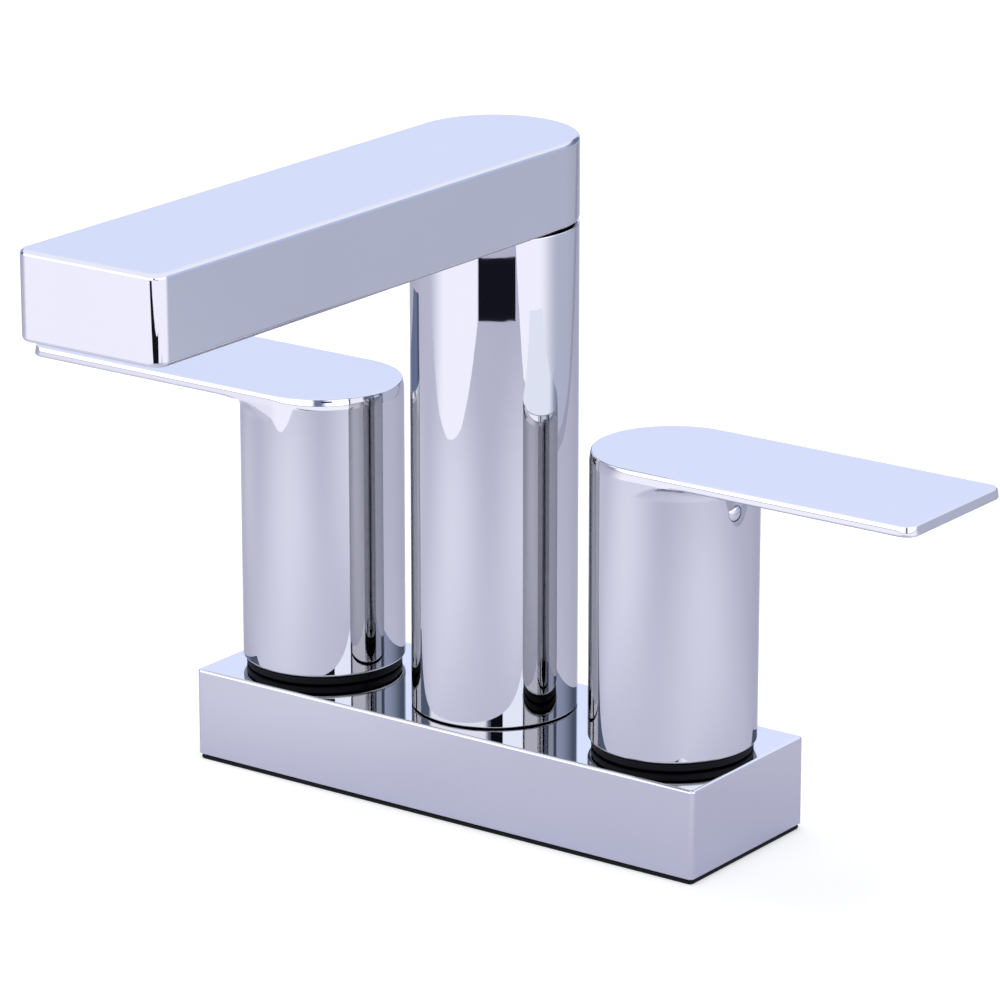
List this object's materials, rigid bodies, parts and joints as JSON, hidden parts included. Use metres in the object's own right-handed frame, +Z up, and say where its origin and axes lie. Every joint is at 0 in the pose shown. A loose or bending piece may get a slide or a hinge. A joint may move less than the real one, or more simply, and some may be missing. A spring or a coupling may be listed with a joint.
{
  "type": "centerset bathroom faucet",
  "caption": "Deck faucet with a long low base, two round lever handles and a round column that carries a level, box-shaped swivel spout.",
  "frame": {"origin": "middle of the base, on the underside of its gasket, where the faucet stands on the basin's deck", "axes": "+X towards the cold handle, -Y towards the user (the spout points along -Y), +Z up along the column"},
  "size_m": [0.2516, 0.1673, 0.1606],
  "materials": {
    "polished_chrome": "mirror-polished chrome plate",
    "brass": "machined, unpolished",
    "stainless_steel": "plain",
    "black_rubber": "matte",
    "black_plastic": "satin",
    "white_plastic": "satin",
    "valve_ceramic": "lapped and glossy"
  },
  "bodies": {
    "base": {"base_cover": "polished_chrome", "base_gasket": "black_rubber", "waterway_body": "brass", "column_sleeve": "polished_chrome", "column_seal_ring": "black_rubber", "riser_tube": "brass", "riser_o_ring": "black_rubber", "spout_glide_washer": "white_plastic", "spout_o_ring_lower": "black_rubber", "spout_o_ring_upper": "black_rubber", "hot_deck_nut": "brass", "hot_glide_ring": "black_plastic", "hot_seat_seal": "black_rubber", "hot_fixed_disc": "valve_ceramic", "hot_cartridge_body": "brass", "hot_bonnet_nut": "brass", "cold_deck_nut": "brass", "cold_glide_ring": "black_plastic", "cold_seat_seal": "black_rubber", "cold_fixed_disc": "valve_ceramic", "cold_cartridge_body": "brass", "cold_bonnet_nut": "brass"},
    "spout": {"spout_arm": "polished_chrome", "spout_lock_screw": "stainless_steel", "aerator_shell": "polished_chrome", "aerator_insert": "white_plastic", "aerator_washer": "black_rubber"},
    "hot_lever": {"hot_handle": "polished_chrome", "hot_turning_disc": "valve_ceramic", "hot_stem": "brass", "hot_stem_o_ring": "black_rubber", "hot_stem_clip": "stainless_steel", "hot_stem_adapter": "brass", "hot_set_screw": "stainless_steel", "hot_screw_plug": "polished_chrome"},
    "cold_lever": {"cold_handle": "polished_chrome", "cold_turning_disc": "valve_ceramic", "cold_stem": "brass", "cold_stem_o_ring": "black_rubber", "cold_stem_clip": "stainless_steel", "cold_stem_adapter": "brass", "cold_set_screw": "stainless_steel", "cold_screw_plug": "polished_chrome"}
  },
  "joints": [
    {"name": "hot_handle_turn", "type": "hinge", "parent": "base", "child": "hot_lever", "pos_m": [-0.0508, 0, 0.0251], "axis": [0, 0, 1], "range_deg": [0, 90]},
    {"name": "cold_handle_turn", "type": "hinge", "parent": "base", "child": "cold_lever", "pos_m": [0.0508, 0, 0.0251], "axis": [0, 0, 1], "range_deg": [-90, 0]},
    {"name": "spout_swivel", "type": "hinge", "parent": "base", "child": "spout", "pos_m": [0, 0, 0.1405], "axis": [0, 0, 1], "range_deg": [-60, 60]}
  ]
}
